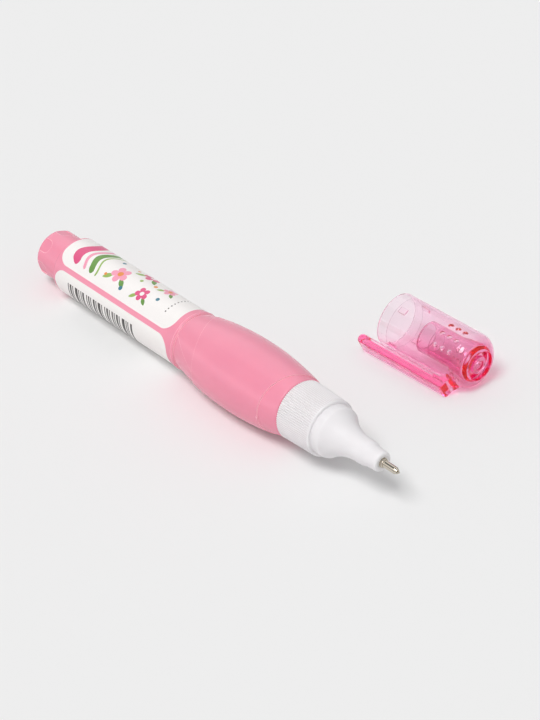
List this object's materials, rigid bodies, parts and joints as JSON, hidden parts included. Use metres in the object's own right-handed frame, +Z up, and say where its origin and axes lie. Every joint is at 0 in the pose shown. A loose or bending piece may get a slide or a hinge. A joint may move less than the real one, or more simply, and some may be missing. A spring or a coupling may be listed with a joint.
{
  "type": "correction pen",
  "caption": "Squeeze-barrel correction fluid pen with a screw-on nozzle and needle valve tip, lying beside its clear pull-off cap with pocket clip.",
  "frame": {"origin": "middle of the footprint of pen and cap, on the table they lie on", "axes": "+X along the pen towards its tip, +Z up from the table, +Y towards the side where the cap lies"},
  "size_m": [0.1184, 0.0582, 0.0177],
  "materials": {
    "pink_plastic": "satin soft plastic",
    "label_print": "white printed film with a coloured pattern",
    "label_back_print": "white printed film with plain grey bars",
    "white_plastic": "satin",
    "seal_rubber": "matt",
    "nickel": "bright nickel plate",
    "spring_steel": "bright",
    "clear_pink": "clear tinted, polished"
  },
  "bodies": {
    "barrel": {"barrel": "pink_plastic", "rear_plug": "pink_plastic", "label_main": "label_print", "label_barcode": "label_back_print"},
    "seal": {"seal_gasket": "seal_rubber"},
    "nozzle": {"nozzle": "white_plastic", "metal_tip": "nickel", "spring_retainer": "white_plastic", "valve_spring": "spring_steel"},
    "valve_pin": {"valve_pin": "nickel"},
    "agitator_ball": {"agitator_ball": "spring_steel"},
    "cap": {"cap": "clear_pink"}
  },
  "joints": [
    {"name": "nozzle_lift", "type": "slide", "parent": "barrel", "child": "seal", "axis": [0.9995, 0, 0.0307], "range_m": [0, 0.004]},
    {"name": "nozzle_screw", "type": "hinge", "parent": "seal", "child": "nozzle", "pos_m": [0.03705, -0.02034, 0.00963], "axis": [0.9995, 0, 0.0307], "range_deg": [0, 720]},
    {"name": "pin_push", "type": "slide", "parent": "nozzle", "child": "valve_pin", "axis": [-0.9995, 0, -0.0307], "range_m": [0, 0.0004], "stiffness_N_per_m": 120, "springref_m": -0.001, "deforming": ["valve_spring"]},
    {"name": "ball_rattle", "type": "slide", "parent": "barrel", "child": "agitator_ball", "axis": [0.9995, 0, 0.0307], "range_m": [0, 0.058]},
    {"name": "cap_pull", "type": "slide", "parent": "barrel", "child": "cap", "axis": [0.9982, 0.0602, 0], "range_m": [0, 0.026]}
  ],
  "couplings": [
    {"joint": "nozzle_screw", "follows": "nozzle_lift", "rad_per_m": 3141.6}
  ]
}
